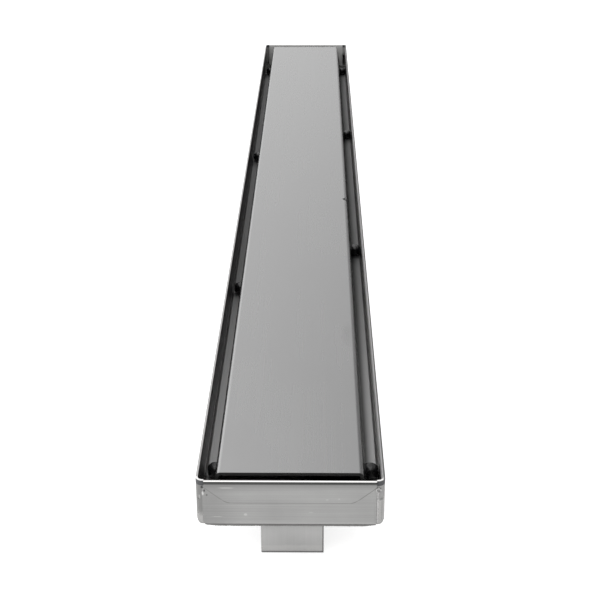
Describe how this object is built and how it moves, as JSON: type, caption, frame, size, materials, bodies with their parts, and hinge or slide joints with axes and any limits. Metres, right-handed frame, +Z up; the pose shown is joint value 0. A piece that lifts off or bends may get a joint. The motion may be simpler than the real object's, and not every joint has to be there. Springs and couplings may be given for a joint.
{
  "type": "linear shower drain",
  "caption": "Long narrow stainless steel floor drain: folded tray on short legs, loose plain cover on rubber buffers, outlet spigot with lift-out strainer.",
  "frame": {"origin": "middle of the drain in plan, in the plane that its two feet stand on", "axes": "+Y along the drain from the near end to the far end, +X to the right across it, +Z up"},
  "size_m": [0.08, 0.8, 0.0395],
  "materials": {
    "tray_steel": "brushed along each panel, bright at the folded rim, dull grey at the welds",
    "cover_steel": "fine satin, brushed along the length",
    "leg_steel": "plain mill finish",
    "outlet_steel": "turned and welded, plain",
    "strainer_steel": "pressed, smooth",
    "buffer_rubber": "moulded black rubber, slightly glossy",
    "seal_rubber": "matt black rubber"
  },
  "bodies": {
    "root": {"buffer_left_1": "buffer_rubber", "buffer_left_2": "buffer_rubber", "buffer_left_3": "buffer_rubber", "buffer_left_4": "buffer_rubber", "buffer_right_1": "buffer_rubber", "buffer_right_2": "buffer_rubber", "buffer_right_3": "buffer_rubber", "buffer_right_4": "buffer_rubber", "channel_body": "tray_steel", "cover_plate": "cover_steel", "cover_rib_far": "cover_steel", "cover_rib_near": "cover_steel", "end_plate_far": "tray_steel", "end_plate_near": "tray_steel", "leg_far": "leg_steel", "leg_near": "leg_steel", "outlet_spigot": "outlet_steel", "strainer_cup": "strainer_steel", "strainer_knob": "strainer_steel", "strainer_ring": "seal_rubber"}
  },
  "joints": []
}
